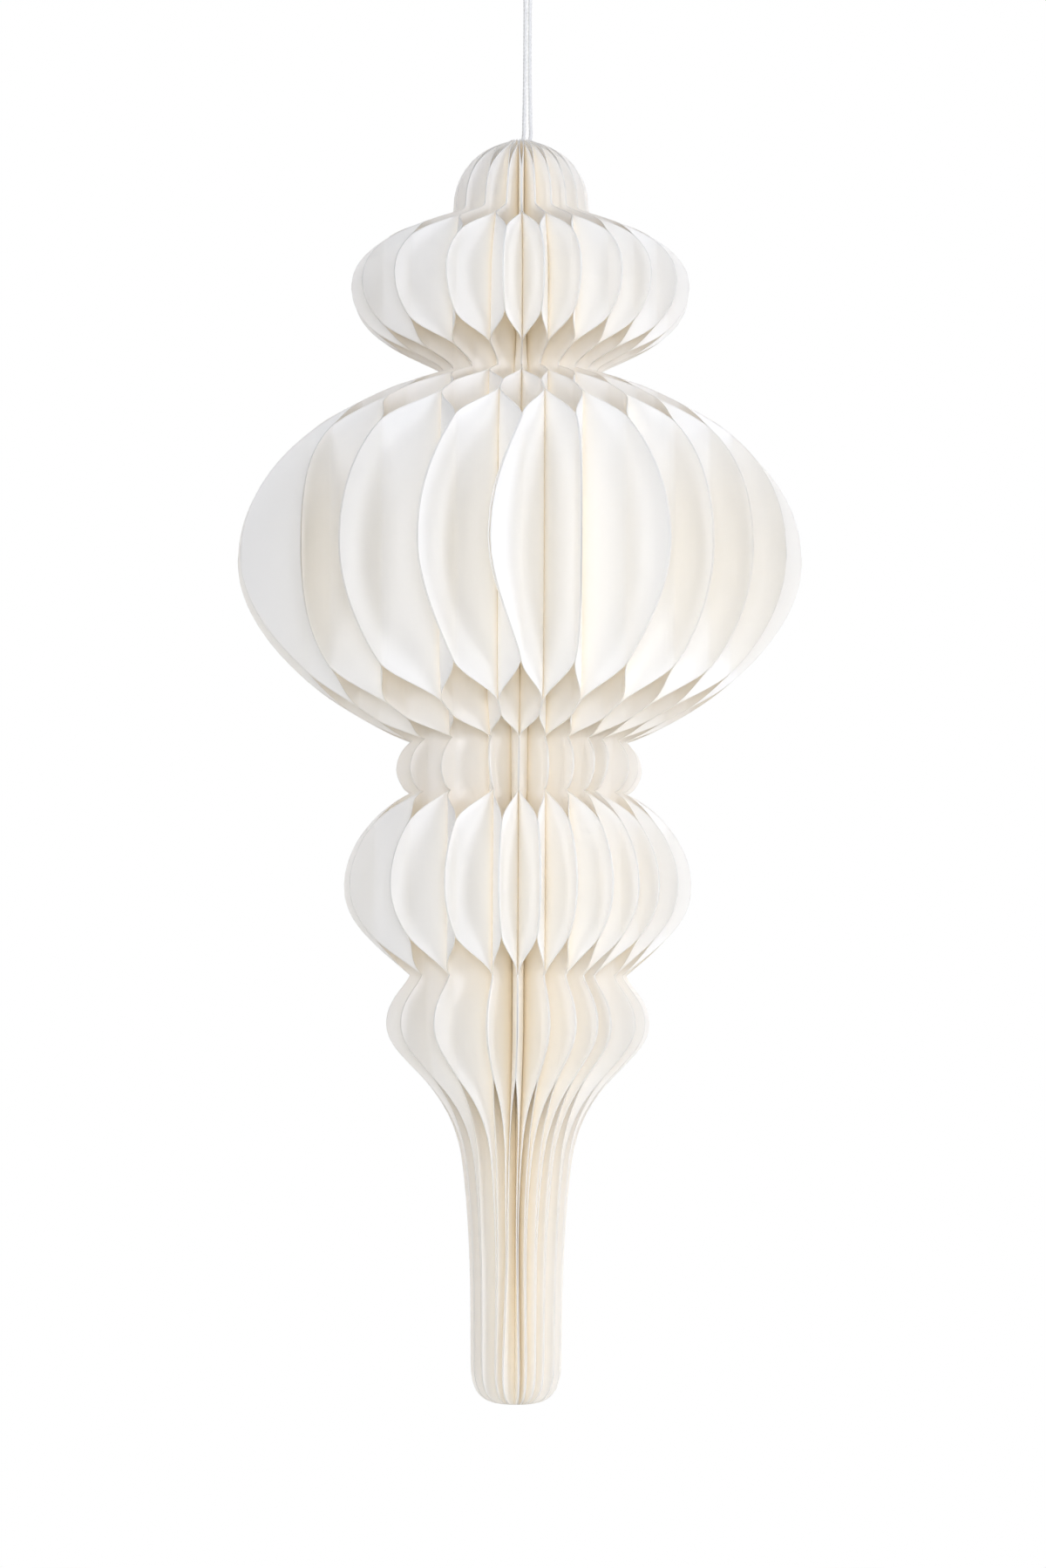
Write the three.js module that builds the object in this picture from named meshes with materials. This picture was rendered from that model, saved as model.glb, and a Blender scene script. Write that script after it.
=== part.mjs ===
// A hanging honeycomb decoration of cut paper. Leaves of one outline stand round a spine and are glued
// to their neighbours in upright strips, so that they open into cells and free fins. A doubled cord
// with a knot in the spine's hollow carries it.
// Millimetres, +Z up, -Y to the front. The origin is where a hook bears inside the cord's loop.
import * as THREE from "three";

// Sheet and stack
const PAPER_T = 0.35; // thickness of one leaf
const GLUE_GAP = 0.3; // left between two leaves that a strip of glue joins
const PAIR_COUNT = 22; // two leaves make a pair
const SPINE_R = 5.5; // hollow between the inner edges of the leaves

// Outline of a leaf as it stands open: the radius at each crest and notch
const DOME_R = 32.5;
const TOP_BULGE_R = 81;
const NECK_R = 38;
const BIG_BULGE_R = 134;
const NOTCH_R = 51.5; // the three notches below the big bulge
const BEAD_R = 58.5;
const LOWER_BULGE_R = 82.5;
const LOWER_BEAD_R = 62.5;
const TAIL_TOP_R = 25.5;
const TAIL_R = 21.5;

// Height of each stretch of the outline, and of the part above its crest
const DOME_H = 35;
const TOP_BULGE_H = 77.5;
const TOP_CREST_H = 37;
const BIG_BULGE_H = 175.5;
const BIG_CREST_H = 90.5;
const BEAD_H = 24.5;
const BEAD_CREST_H = 14;
const LOWER_BULGE_H = 86;
const LOWER_CREST_H = 43.5;
const LOWER_BEAD_H = 91;
const LOWER_BEAD_CREST_H = 22.5;
const TAIL_H = 110.5;
const TAIL_CORNER_H = 20;

// Strips of glue, by radius: a pair's own two leaves are joined in the pair strips, and each leaf joins the
// next pair in the fin strips
const PAIR_STRIP_0 = { from: 9.5, to: 20.5 };
const FIN_STRIP_1 = { from: 37.5, to: NOTCH_R };
const PAIR_STRIP_1 = { from: 71, to: 81 };
const FIN_STRIP_2 = { from: 103.5, to: 114.5 };

// Where the front pairs stand, in degrees from the front, positive to the right, as they have opened
const FRONT_PAIRS = [-67, -49.5, -26.5, -7, 8, 20.5, 36.5, 51, 66];
// How far the rim of the fin before each front pair, and after the last, leans past its glue, in degrees
const FRONT_LEANS = [-3, 10.8, 0.5, -3.2, -6.2, -2.3, 2, -2.7, -5.5, -6.3];
const BACK_LEAN = 3; // most that a fin leans at the back
const BACK_LEAN_TURN = 2.4; // step of the back fins' lean, a sine, from fin to fin, in radians
const LEAN_AT_STRIP = 0.2; // share of the lean that the fin has at the outer end of its glue

// Cord
const CORD_D = 1.9;
const CORD_SIDES = 8;
const CORD_STEPS = 56;
const CORD_ASIDE = 2.7; // the cord comes out beside the spine's axis
const DOME_DROP = 86; // top of the paper below the hook
const KNOT_CLEARANCE = 0.3;
const KNOT_TOP_DROP = 10; // top of the knot below the top of the paper
const KNOT_H = 9;
const KNOT_ROUND = 1.6; // taken off the knot's rims
const KNOT_SEGMENTS = 20;

const paper = new THREE.MeshStandardMaterial({ color: 0xf4f1ea, roughness: 0.9, metalness: 0 });
const cotton = new THREE.MeshStandardMaterial({ color: 0xf6f4f0, roughness: 0.95, metalness: 0 });

// Each stretch of the outline is a few cubic curves, from the top down. A curve has the number of chords
// it is drawn with, its two handles and its end, each as [radius, depth below the paper's top].
const neckLevel = DOME_H + TOP_BULGE_H;
const beadLevel = neckLevel + BIG_BULGE_H;
const lowerLevel = beadLevel + BEAD_H;
const lowerBeadLevel = lowerLevel + LOWER_BULGE_H;
const tailLevel = lowerBeadLevel + LOWER_BEAD_H;
const paperHeight = tailLevel + TAIL_H;
const topCrest = DOME_H + TOP_CREST_H;
const bigCrest = neckLevel + BIG_CREST_H;
const beadCrest = beadLevel + BEAD_CREST_H;
const lowerCrest = lowerLevel + LOWER_CREST_H;
const lowerBeadCrest = lowerBeadLevel + LOWER_BEAD_CREST_H;
const tailCorner = paperHeight - TAIL_CORNER_H;

const domeCurve = {
  chords: 4,
  handles: [[SPINE_R - 1, 2], [DOME_R, 3.5]],
  end: [DOME_R, DOME_H],
};
const topBulgeCurves = [
  {
    chords: 4,
    handles: [[DOME_R, DOME_H + 4], [TOP_BULGE_R, DOME_H + 11]],
    end: [TOP_BULGE_R, topCrest],
  },
  {
    chords: 5,
    handles: [[TOP_BULGE_R, topCrest + 27], [NECK_R, neckLevel - 6]],
    end: [NECK_R, neckLevel],
  },
];
const bigBulgeCurves = [
  {
    chords: 6,
    handles: [[NECK_R + 19.5, neckLevel + 5], [BIG_BULGE_R, neckLevel + 30]],
    end: [BIG_BULGE_R, bigCrest],
  },
  {
    chords: 6,
    handles: [[BIG_BULGE_R, bigCrest + 34.5], [NOTCH_R + 39, beadLevel - 14]],
    end: [NOTCH_R, beadLevel],
  },
];
const beadCurves = [
  {
    chords: 2,
    handles: [[NOTCH_R + 4, beadLevel + 3.5], [BEAD_R, beadCrest - 6.5]],
    end: [BEAD_R, beadCrest],
  },
  {
    chords: 2,
    handles: [[BEAD_R, beadCrest + 2], [NOTCH_R + 4.5, lowerLevel - 1]],
    end: [NOTCH_R, lowerLevel],
  },
];
const lowerBulgeCurves = [
  {
    chords: 4,
    handles: [[NOTCH_R + 22.5, lowerLevel + 11.5], [LOWER_BULGE_R, lowerCrest - 13]],
    end: [LOWER_BULGE_R, lowerCrest],
  },
  {
    chords: 4,
    handles: [[LOWER_BULGE_R, lowerCrest + 16], [NOTCH_R + 21.5, lowerBeadLevel - 18.5]],
    end: [NOTCH_R, lowerBeadLevel],
  },
];
const lowerBeadCurves = [
  {
    chords: 3,
    handles: [[NOTCH_R + 1.5, lowerBeadLevel + 5], [LOWER_BEAD_R, lowerBeadCrest - 11]],
    end: [LOWER_BEAD_R, lowerBeadCrest],
  },
  {
    chords: 6,
    handles: [[LOWER_BEAD_R, lowerBeadCrest + 19.5], [TAIL_TOP_R + 4.5, tailLevel - 43.5]],
    end: [TAIL_TOP_R, tailLevel],
  },
];
const tailCurves = [
  {
    chords: 2,
    handles: [[TAIL_R + 0.5, tailLevel + 30.5], [TAIL_R, tailCorner - 30]],
    end: [TAIL_R, tailCorner],
  },
  {
    chords: 3,
    handles: [[TAIL_R, tailCorner + 15], [TAIL_R - 5.5, paperHeight - 0.5]],
    end: [SPINE_R, paperHeight],
  },
];

// A zone is a stretch whose paper past the first fin strip goes its own way
const STRETCHES = [
  { zone: "top", curves: [domeCurve, ...topBulgeCurves] },
  { zone: "big", curves: bigBulgeCurves },
  { zone: "bead", curves: beadCurves },
  { zone: "lower", curves: lowerBulgeCurves },
  { zone: "tail", curves: [...lowerBeadCurves, ...tailCurves] },
];

// The outline's points from the spine's top round the rim to its bottom, each {r, z, zone}
function outlinePoints() {
  const points = [{ r: SPINE_R, z: 0, zone: "top" }];
  for (const { zone, curves } of STRETCHES) {
    for (const { chords, handles, end } of curves) {
      const start = [points.at(-1).r, -points.at(-1).z];
      const controls = [start, ...handles, end].map(([r, depth]) => new THREE.Vector2(r, depth));
      const curve = new THREE.CubicBezierCurve(...controls);
      for (const p of curve.getPoints(chords).slice(1)) {
        points.push({ r: p.x, z: -p.y, zone });
      }
    }
  }
  return points;
}

// The azimuth of each pair: the front ones as they have opened, the others evenly round the back
function pairAzimuths() {
  const first = FRONT_PAIRS[0];
  const last = FRONT_PAIRS.at(-1);
  const step = (first + 360 - last) / (PAIR_COUNT - FRONT_PAIRS.length + 1);
  return Array.from({ length: PAIR_COUNT }, (_, i) =>
    i < FRONT_PAIRS.length ? FRONT_PAIRS[i] : last + step * (i - FRONT_PAIRS.length + 1),
  );
}

const pairs = pairAzimuths();
const pairStep = 360 / PAIR_COUNT;
const spineStart = pairs.reduce((sum, azimuth, i) => sum + azimuth - i * pairStep, 0) / PAIR_COUNT;
const halfPair = (PAPER_T + GLUE_GAP) / 2;

// Fin i stands between pair i - 1 and pair i
function finAt(i) {
  const before = i === 0 ? pairs[PAIR_COUNT - 1] - 360 : pairs[i - 1];
  const after = i === PAIR_COUNT ? pairs[0] + 360 : pairs[i];
  const turn = i % PAIR_COUNT;
  const lean = turn < FRONT_LEANS.length ? FRONT_LEANS[turn] : BACK_LEAN * Math.sin(BACK_LEAN_TURN * turn);
  return { azimuth: (before + after) / 2, lean };
}

// The way of one leaf seen from above, as its fold lines from the spine outwards: each has a radius, an
// azimuth and a shift along the ring. It is the same in every zone as far as the first fin strip. Past
// that the bulges open to the next strips, and the beads stay shut.
function leafWays(pair, side) {
  const azimuth = pairs[pair];
  const fin = finAt(side < 0 ? pair : pair + 1);
  const inPair = { azimuth, shift: side * halfPair };
  const inFin = { azimuth: fin.azimuth, shift: -side * halfPair };
  const core = [
    { r: SPINE_R, azimuth: spineStart + pairStep * (pair + side / 4), shift: 0 },
    { r: PAIR_STRIP_0.from, ...inPair },
    { r: PAIR_STRIP_0.to, ...inPair },
    { r: FIN_STRIP_1.from, ...inFin },
    { r: FIN_STRIP_1.to, ...inFin },
  ];
  const bead = [...core, { r: BIG_BULGE_R, ...inFin }];
  const bulge = [...core, { r: PAIR_STRIP_1.from, ...inPair }, { r: BIG_BULGE_R, ...inPair }];
  const big = [
    ...core,
    { r: PAIR_STRIP_1.from, ...inPair },
    { r: PAIR_STRIP_1.to, ...inPair },
    { r: FIN_STRIP_2.from, ...inFin },
    { r: FIN_STRIP_2.to, azimuth: fin.azimuth + LEAN_AT_STRIP * fin.lean, shift: inFin.shift },
    { r: BIG_BULGE_R, azimuth: fin.azimuth + fin.lean, shift: inFin.shift },
  ];
  return { top: bulge, big, bead, lower: bulge, tail: bead };
}

// A point of a way at radius r, with the direction across the sheet there
function placeOn(way, r) {
  const k = Math.min(way.findLastIndex((fold) => fold.r <= r), way.length - 2);
  const share = (r - way[k].r) / (way[k + 1].r - way[k].r);
  const [a, b] = [way[k], way[k + 1]].map((fold) => {
    const angle = THREE.MathUtils.degToRad(fold.azimuth);
    const out = new THREE.Vector2(Math.sin(angle), -Math.cos(angle));
    const across = new THREE.Vector2(Math.cos(angle), Math.sin(angle));
    return { at: out.multiplyScalar(fold.r).addScaledVector(across, fold.shift), across };
  });
  return { at: a.at.lerp(b.at, share), across: a.across.lerp(b.across, share) };
}

// The outline with a point added wherever it crosses a fold line of its zone
function foldedOutline(ways) {
  const points = outlinePoints();
  const folded = [points[0]];
  for (let i = 1; i < points.length; i++) {
    const [a, b] = [points[i - 1], points[i]];
    const crossed = ways[b.zone]
      .map((fold) => fold.r)
      .filter((r) => (a.r - r) * (b.r - r) < 0)
      .sort((p, q) => (p - q) * Math.sign(b.r - a.r));
    for (const r of crossed) {
      folded.push({ r, z: THREE.MathUtils.lerp(a.z, b.z, (r - a.r) / (b.r - a.r)), zone: b.zone });
    }
    folded.push(b);
  }
  return folded.map((point, index) => ({ ...point, index }));
}

// The flat panels between fold lines. A chain runs from the upper end of a fold line round the rim to
// its lower end. What lies inside the next fold line is one panel, and each stretch past it is a chain.
function panelsOf(chain, ways, level = 1) {
  const way = ways[chain[1].zone];
  if (level === way.length - 1) return [chain];
  const fold = way[level].r;
  const found = [chain.filter((point) => point.r <= fold)];
  let past = [];
  for (const point of chain) {
    if (point.r > fold) past.push(point);
    if (point.r === fold && past.length > 1) {
      found.push(...panelsOf([...past, point], ways, level + 1));
    }
    if (point.r === fold) past = [point];
    if (point.r < fold) past = [];
  }
  return found;
}

// Triangles of a panel whose chain lies on one side of its fold line: a corner is cut off as soon as it
// stands out
function triangulate(chain) {
  const triangles = [];
  const kept = [];
  for (const point of chain) {
    while (kept.length > 1) {
      const [a, b] = kept.slice(-2);
      if ((b.r - a.r) * (point.z - b.z) - (b.z - a.z) * (point.r - b.r) >= 0) break;
      triangles.push([a.index, b.index, point.index]);
      kept.pop();
    }
    kept.push(point);
  }
  return triangles;
}

// One leaf as a closed sheet: a skin each side of its way, and the cut edge between them
function leafGeometry(pair, side) {
  const ways = leafWays(pair, side);
  const rim = foldedOutline(ways);
  const count = rim.length;
  const skins = [PAPER_T / 2, -PAPER_T / 2].map((offset) =>
    rim.map(({ r, z, zone }) => {
      const { at, across } = placeOn(ways[zone], r);
      at.addScaledVector(across, offset);
      return new THREE.Vector3(at.x, at.y, z);
    }),
  );
  const index = [];
  for (const [a, b, c] of panelsOf(rim, ways).flatMap(triangulate)) {
    index.push(a, b, c, a + count, c + count, b + count);
  }
  for (let a = 0; a < count; a++) {
    const b = (a + 1) % count;
    index.push(b, a, a + count, b, a + count, b + count);
  }
  const geometry = new THREE.BufferGeometry().setFromPoints(skins.flat());
  geometry.setIndex(index);
  geometry.computeVertexNormals();
  return geometry;
}

// The cord's centre line, [x, z] in the plane y = 0: up one leg from the knot, round the loop and down
const LEG_UP = [
  [-3.9, -DOME_DROP - KNOT_TOP_DROP + KNOT_CLEARANCE],
  [-3.9, -DOME_DROP - KNOT_TOP_DROP + 2],
  [-3.2, -DOME_DROP - 4.5],
  [-1.8, -DOME_DROP + 0.5],
  [-1.4, -76],
  [-1.25, -64],
  [-1.12, -53],
  [-1.1, -42],
  [-1.1, -31],
  [-1.1, -22],
  [-1.3, -17.5],
  [-2.2, -13],
  [-3.5, -8.5],
  [-4.2, -4],
  [-3.2, -0.6],
];
const LOOP_TOP = [0, CORD_D / 2];
const LEG_DOWN = [
  [3.2, -0.6],
  [4.2, -4],
  [3.5, -8.5],
  [2.2, -13],
  [1.3, -17.5],
  [1.1, -22],
  [1.1, -31],
  [1.1, -42],
  [1.12, -53],
  [1.3, -64],
  [1.5, -76],
  [1.4, -DOME_DROP + 0.5],
  [-0.4, -DOME_DROP - 4.5],
  [-1.5, -DOME_DROP - KNOT_TOP_DROP + 2],
  [-1.5, -DOME_DROP - KNOT_TOP_DROP + KNOT_CLEARANCE],
];

function cordGeometry() {
  const section = new THREE.Shape();
  section.absarc(0, 0, CORD_D / 2, 0, 2 * Math.PI);
  const route = [...LEG_UP, LOOP_TOP, ...LEG_DOWN].map(([x, z]) => new THREE.Vector3(x, 0, z));
  return new THREE.ExtrudeGeometry(section, {
    steps: CORD_STEPS,
    curveSegments: CORD_SIDES,
    extrudePath: new THREE.CatmullRomCurve3(route),
  });
}

// The knot is a rounded barrel that fills the spine's hollow
function knotGeometry() {
  const radius = SPINE_R - KNOT_CLEARANCE;
  const profile = new THREE.Path();
  profile.moveTo(0, -KNOT_H);
  profile.lineTo(radius - KNOT_ROUND, -KNOT_H);
  profile.quadraticCurveTo(radius, -KNOT_H, radius, -KNOT_H + KNOT_ROUND);
  profile.lineTo(radius, -KNOT_ROUND);
  profile.quadraticCurveTo(radius, 0, radius - KNOT_ROUND, 0);
  profile.lineTo(0, 0);
  const lathe = new THREE.LatheGeometry(profile.getPoints(3), KNOT_SEGMENTS);
  return lathe.rotateX(Math.PI / 2);
}

function named(name, geometry, material) {
  const mesh = new THREE.Mesh(geometry, material);
  mesh.name = name;
  return mesh;
}

const decoration = new THREE.Group();

const leaves = new THREE.Group();
leaves.position.set(-CORD_ASIDE, 0, -DOME_DROP);
for (let leaf = 0; leaf < 2 * PAIR_COUNT; leaf++) {
  const label = String(leaf + 1).padStart(2, "0");
  const side = leaf % 2 === 0 ? -1 : 1;
  leaves.add(named(`leaf_${label}`, leafGeometry(Math.floor(leaf / 2), side), paper));
}
decoration.add(leaves);

const knot = named("cord_knot", knotGeometry(), cotton);
knot.position.set(-CORD_ASIDE, 0, -DOME_DROP - KNOT_TOP_DROP);
decoration.add(knot);
decoration.add(named("hanging_cord", cordGeometry(), cotton));

export default decoration;
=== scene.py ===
"""Looks of a hanging honeycomb decoration: cut paper leaves round a spine, on a doubled cotton cord.

Sizes are written in millimetres and become metres where a mesh is made. +Z is up and -Y is the front.
"""
import logging
import math
from dataclasses import dataclass, field
from enum import Enum

import bpy
import numpy as np
from mathutils import Euler, Matrix, Vector


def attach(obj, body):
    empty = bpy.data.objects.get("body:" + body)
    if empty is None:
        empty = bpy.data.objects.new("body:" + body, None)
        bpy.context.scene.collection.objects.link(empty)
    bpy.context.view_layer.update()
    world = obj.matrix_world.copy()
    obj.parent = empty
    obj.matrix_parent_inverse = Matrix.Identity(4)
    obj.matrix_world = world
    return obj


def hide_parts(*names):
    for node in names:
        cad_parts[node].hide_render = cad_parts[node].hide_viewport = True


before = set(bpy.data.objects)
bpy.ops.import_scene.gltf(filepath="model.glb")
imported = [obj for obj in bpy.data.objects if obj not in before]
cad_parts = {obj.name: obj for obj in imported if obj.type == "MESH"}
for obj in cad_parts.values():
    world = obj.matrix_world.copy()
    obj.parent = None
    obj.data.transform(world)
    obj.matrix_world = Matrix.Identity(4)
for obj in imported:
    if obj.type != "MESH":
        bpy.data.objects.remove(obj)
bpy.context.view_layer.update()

Array = np.ndarray
Curve = tuple[tuple[float, float], ...]

MM = 0.001
BODY = "root"
# Less than any size here, for comparing radii.
HAIR = 1e-6
# Sockets of a Mix node that mixes colours.
MIX_SHARE, MIX_FIRST, MIX_SECOND, MIX_RESULT = 0, 6, 7, 2
LOG = logging.getLogger("honeycomb")


def linear(colour: str, alpha: float = 1.0) -> tuple[float, float, float, float]:
    """Turns an sRGB hex colour into linear light.

    Args:
        colour: six hex digits after a hash sign.
        alpha: fourth component of the result.

    Returns:
        Red, green, blue and alpha, linear.
    """
    srgb = np.array([int(colour[i:i + 2], 16) for i in (1, 3, 5)]) / 255
    low, high = srgb / 12.92, ((srgb + 0.055) / 1.055) ** 2.4
    return (*np.where(srgb <= 0.04045, low, high).tolist(), alpha)


def smoothstep(share: Array) -> Array:
    """Eases a share from 0 to 1 with no slope at either end: 3t^2 - 2t^3, held outside."""
    t = np.clip(share, 0.0, 1.0)
    return t * t * (3 - 2 * t)


def add_node(
    tree: bpy.types.NodeTree,
    kind: str,
    inputs: dict[str | int, object] | None = None,
    **settings: object,
) -> bpy.types.Node:
    """Adds a node with its settings, its constants and its links.

    Args:
        tree: the material's or world's node tree.
        kind: Blender's name for the kind of node.
        inputs: what feeds each input socket, either a constant or another node's output socket.
        settings: the node's own properties.

    Returns:
        The new node.
    """
    node = tree.nodes.new(kind)
    for name, setting in settings.items():
        setattr(node, name, setting)
    for name, source in (inputs or {}).items():
        if isinstance(source, bpy.types.NodeSocket):
            tree.links.new(source, node.inputs[name])
        else:
            node.inputs[name].default_value = source
    return node


def new_tree(owner: bpy.types.Material | bpy.types.World) -> bpy.types.NodeTree:
    """Empties the node tree of a material or world and returns it."""
    owner.use_nodes = True
    owner.node_tree.nodes.clear()
    return owner.node_tree


def put_mesh(name: str, points: Array, faces: list[Array], smooth: list[bool]) -> bpy.types.Object:
    """Makes a mesh object at the origin from whole arrays.

    Args:
        name: name of the object and its mesh.
        points: vertices in metres, one row each.
        faces: arrays of vertex numbers, one row per face, each array with its own corner count.
        smooth: whether the faces of each array are shaded smooth.

    Returns:
        The object, linked to the scene.
    """
    mesh = bpy.data.meshes.new(name)
    corners = np.concatenate([block.ravel() for block in faces]).astype(np.int32)
    sizes = np.concatenate([np.full(len(block), block.shape[1]) for block in faces])
    mesh.vertices.add(len(points))
    mesh.vertices.foreach_set("co", np.ascontiguousarray(points, np.float32).ravel())
    mesh.loops.add(len(corners))
    mesh.loops.foreach_set("vertex_index", corners)
    mesh.polygons.add(len(sizes))
    mesh.polygons.foreach_set("loop_start", (np.cumsum(sizes) - sizes).astype(np.int32))
    flags = np.concatenate([np.full(len(block), flag) for block, flag in zip(faces, smooth)])
    mesh.polygons.foreach_set("use_smooth", flags)
    mesh.update(calc_edges=True)
    mesh.validate()
    piece = bpy.data.objects.new(name, mesh)
    bpy.context.scene.collection.objects.link(piece)
    return piece


class Zone(Enum):
    """Stretches of a leaf, from the top down, whose paper past the first fin strip goes its own way."""

    TOP = "top"
    BIG = "big"
    BEAD = "bead"
    LOWER = "lower"
    TAIL = "tail"


@dataclass(frozen=True)
class ZoneShape:
    """The outline of one stretch: the curves from its upper notch to its crest, and on to its lower notch.

    Each curve is (start, handle, handle, end), and each point is (radius, depth below the paper's top).
    """

    upper: tuple[Curve, ...]
    lower: tuple[Curve, ...]
    rows: int

    @staticmethod
    def trace(curves: tuple[Curve, ...], count: int) -> Array:
        """Samples cubic curves: (1-t)^3 a + 3(1-t)^2 t b + 3(1-t) t^2 c + t^3 d.

        Args:
            curves: the curves, end to end.
            count: samples of each curve.

        Returns:
            Points as rows of radius and depth.
        """
        t = np.linspace(0, 1, count)[:, None]
        weights = np.hstack([(1 - t) ** 3, 3 * (1 - t) ** 2 * t, 3 * (1 - t) * t**2, t**3])
        return np.vstack([weights @ np.array(curve) for curve in curves])

    @property
    def crest(self) -> float:
        """Largest radius of the stretch."""
        return self.upper[-1][-1][0]

    @property
    def notches(self) -> tuple[float, float]:
        """Radius of the notch above the stretch and of the notch below it."""
        return self.upper[0][0][0], self.lower[-1][-1][0]

    def edges(self, radii: Array) -> tuple[Array, Array]:
        """Depth of the upper and lower end of upright lines at some radii.

        Inside a notch's radius a line ends on the level cut through the notch, where the next stretch begins.
        """
        fine = 400
        above, below = self.trace(self.upper, fine), self.trace(self.lower, fine)[::-1]
        top = np.interp(radii, np.maximum.accumulate(above[:, 0]), above[:, 1])
        bottom = np.interp(radii, np.maximum.accumulate(below[:, 0]), below[:, 1])
        return top, bottom


def paper_outline() -> dict[Zone, ZoneShape]:
    """The half outline that every leaf is cut to, by stretch."""
    dome = ((5.5, 0), (4.5, 2), (32.5, 3.5), (32.5, 35))
    top = ((32.5, 35), (32.5, 39), (81, 46), (81, 72)), ((81, 72), (81, 99), (38, 106.5), (38, 112.5))
    big = (
        ((38, 112.5), (57.5, 117.5), (134, 142.5), (134, 203)),
        ((134, 203), (134, 237.5), (90.5, 274), (51.5, 288)),
    )
    bead = (
        ((51.5, 288), (55.5, 291.5), (58.5, 295.5), (58.5, 302)),
        ((58.5, 302), (58.5, 304), (56, 311.5), (51.5, 312.5)),
    )
    lower = (
        ((51.5, 312.5), (74, 324), (82.5, 343), (82.5, 356)),
        ((82.5, 356), (82.5, 372), (73, 380), (51.5, 398.5)),
    )
    last = (
        ((51.5, 398.5), (53, 403.5), (62.5, 410), (62.5, 421)),
        ((62.5, 421), (62.5, 440.5), (30, 446), (25.5, 489.5)),
    )
    tail = (
        ((25.5, 489.5), (22, 520), (21.5, 550), (21.5, 580)),
        ((21.5, 580), (21.5, 595), (16, 599.5), (5.5, 600)),
    )
    return {
        Zone.TOP: ZoneShape((dome, top[0]), (top[1],), 10),
        Zone.BIG: ZoneShape((big[0],), (big[1],), 12),
        Zone.BEAD: ZoneShape((bead[0],), (bead[1],), 6),
        Zone.LOWER: ZoneShape((lower[0],), (lower[1],), 9),
        Zone.TAIL: ZoneShape((last[0],), (last[1], *tail), 12),
    }


@dataclass(frozen=True)
class Strip:
    """An upright strip of glue, by radius."""

    start: float
    end: float


@dataclass(frozen=True)
class Opening:
    """How the leaves have opened: the azimuth of each pair, and the fins that stand between pairs.

    Azimuths are in degrees from the front, positive to the right. The front pairs are given at a few
    depths, between which they ease over, and the others stand evenly round the back.
    """

    pairs: int = 22
    depths: tuple[float, ...] = (25.0, 72.0, 160.0, 250.0, 310.0, 420.0, 520.0, 592.0)
    front: tuple[tuple[float, ...], ...] = (
        (-64, -44, -18.5, -5, 5.5, 18, 34, 48, 63, 79),
        (-67, -46.5, -25.1, -5.7, 7.8, 20.2, 35.5, 48.7, 65, 81),
        (-65.5, -49.5, -26.5, -7, 8, 20.5, 36.5, 51, 66, 82),
        (-65.5, -49.5, -26.5, -7, 8, 20.5, 36.5, 51, 66, 82),
        (-73, -45.6, -24, -6.1, 7.2, 19.2, 32, 42.5, 52.5, 65),
        (-73, -45.6, -24, -6.1, 7.2, 19.2, 32, 42.5, 52.5, 65),
        (-66, -48.5, -24, -11.5, 1, 10.8, 24, 37, 56, 74),
        (-66, -48.5, -27, -17, 4, 13, 25, 37, 56, 74),
    )
    fin_shifts: tuple[float, ...] = (0, -1.4, -3.4, 2.1, -0.5, 0.5, 0, -0.8, -3.6, 3)
    shifted_depths: tuple[float, ...] = (270.0, 310.0, 420.0, 500.0)
    leans: tuple[float, ...] = (-4, 9.5, 0.5, -3.2, -6.2, -2.3, 2, -2.7, -5.5, -6.3)
    back_lean: float = 3.0
    back_lean_turn: float = 2.4
    big_bulge_row: int = 2

    def pair_table(self) -> Array:
        """Azimuth of every pair, one row for each of the depths."""
        rows = []
        for front in self.front:
            behind = self.pairs - len(front)
            step = (front[0] + 360 - front[-1]) / (behind + 1)
            rows.append(np.concatenate([front, front[-1] + step * np.arange(1, behind + 1)]))
        return np.array(rows)

    def fin_table(self) -> Array:
        """Azimuth of every fin, halfway between the pairs beside it, one row for each of the depths."""
        pairs = self.pair_table()
        before = np.hstack([pairs[:, -1:] - 360, pairs])
        after = np.hstack([pairs, pairs[:, :1] + 360])
        return (before + after) / 2

    def fin_at_depth(self, fin: int, depth: Array) -> Array:
        """Azimuth of a fin at the depths asked for, with its own shift between the big bulge and the tail."""
        top, full, still, gone = self.shifted_depths
        share = smoothstep((depth - top) / (full - top)) - smoothstep((depth - still) / (gone - still))
        turn = fin % self.pairs
        shift = self.fin_shifts[turn] if turn < len(self.fin_shifts) else 0.0
        return self.at_depth(self.fin_table()[:, fin], depth) + shift * share

    def lean(self, fin: int) -> float:
        """How far a fin's rim leans past its glue on the big bulge, in degrees."""
        turn = fin % self.pairs
        if turn < len(self.leans):
            return self.leans[turn]
        return self.back_lean * math.sin(self.back_lean_turn * turn)

    def spine_azimuth(self, pair: int, side: int) -> float:
        """Azimuth of a leaf's inner edge, where all the leaves stand evenly round the spine."""
        step = 360 / self.pairs
        start = np.mean(self.pair_table()[self.big_bulge_row] - step * np.arange(self.pairs))
        return float(start + step * (pair + side / 4))

    def at_depth(self, column: Array, depth: Array) -> Array:
        """Eases a column of a table over to the depths asked for."""
        value = np.full_like(depth, column[0])
        for k in range(len(self.depths) - 1):
            share = (depth - self.depths[k]) / (self.depths[k + 1] - self.depths[k])
            value += (column[k + 1] - column[k]) * smoothstep(share)
        return value


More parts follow.
